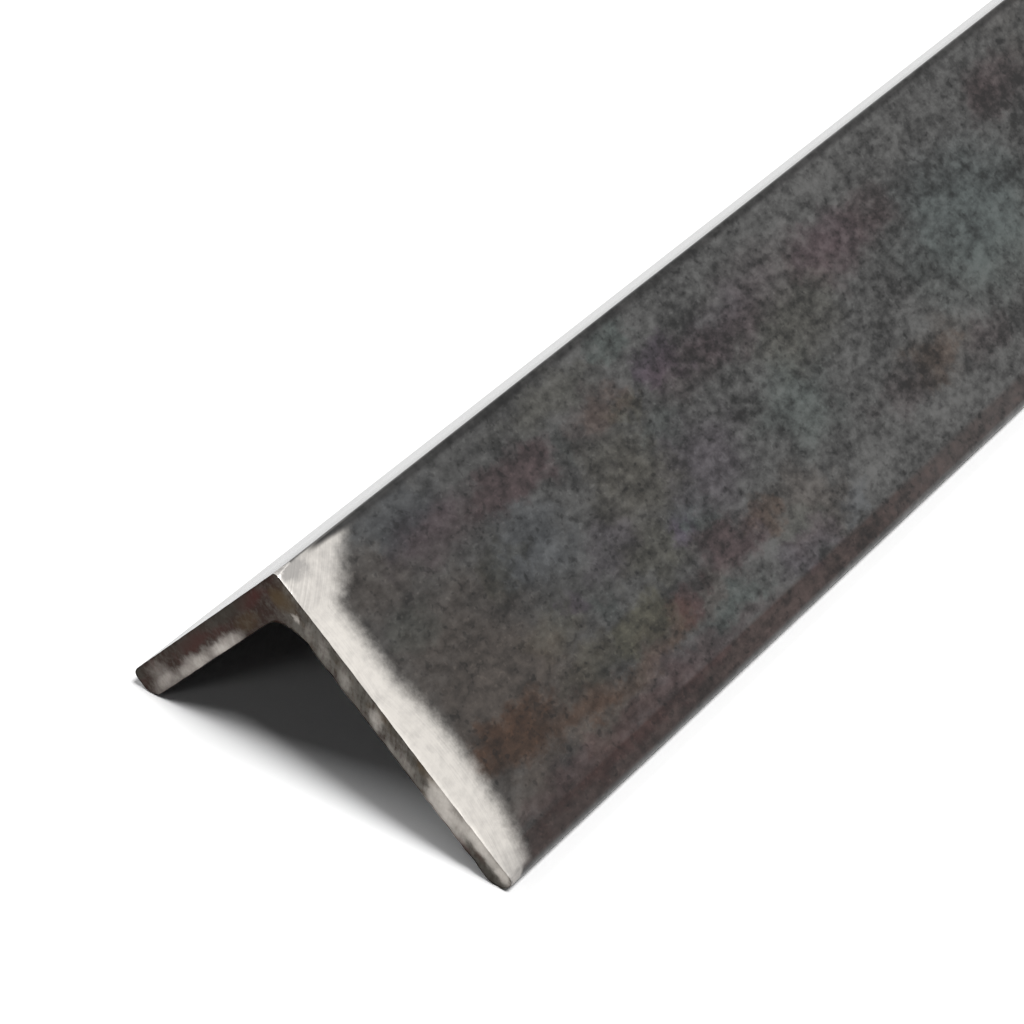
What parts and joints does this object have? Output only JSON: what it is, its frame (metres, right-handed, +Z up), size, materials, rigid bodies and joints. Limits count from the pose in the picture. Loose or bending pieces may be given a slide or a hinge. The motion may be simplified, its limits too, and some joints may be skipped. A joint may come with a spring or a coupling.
{
  "type": "steel angle section",
  "caption": "Straight length of hot-rolled equal-leg steel angle for frames and brackets, lying heel up on its toes, with rounded root and toes and a ground end.",
  "frame": {"origin": "middle of the bar's length, under the heel, at the height of the surface it lies on", "axes": "+Y along the bar, with the ground end at -Y; +Z up through the heel; the legs slope down to +X and -X, and the ground strip is on the outer face of the +X leg"},
  "size_m": [0.0694, 1, 0.0376],
  "materials": {
    "mill_scale_steel": "hot-rolled mild steel under dark grey mill scale with rust blooms, sawn ends, and a strip ground bright beside one end"
  },
  "bodies": {
    "root": {"angle_bar": "mill_scale_steel"}
  },
  "joints": []
}
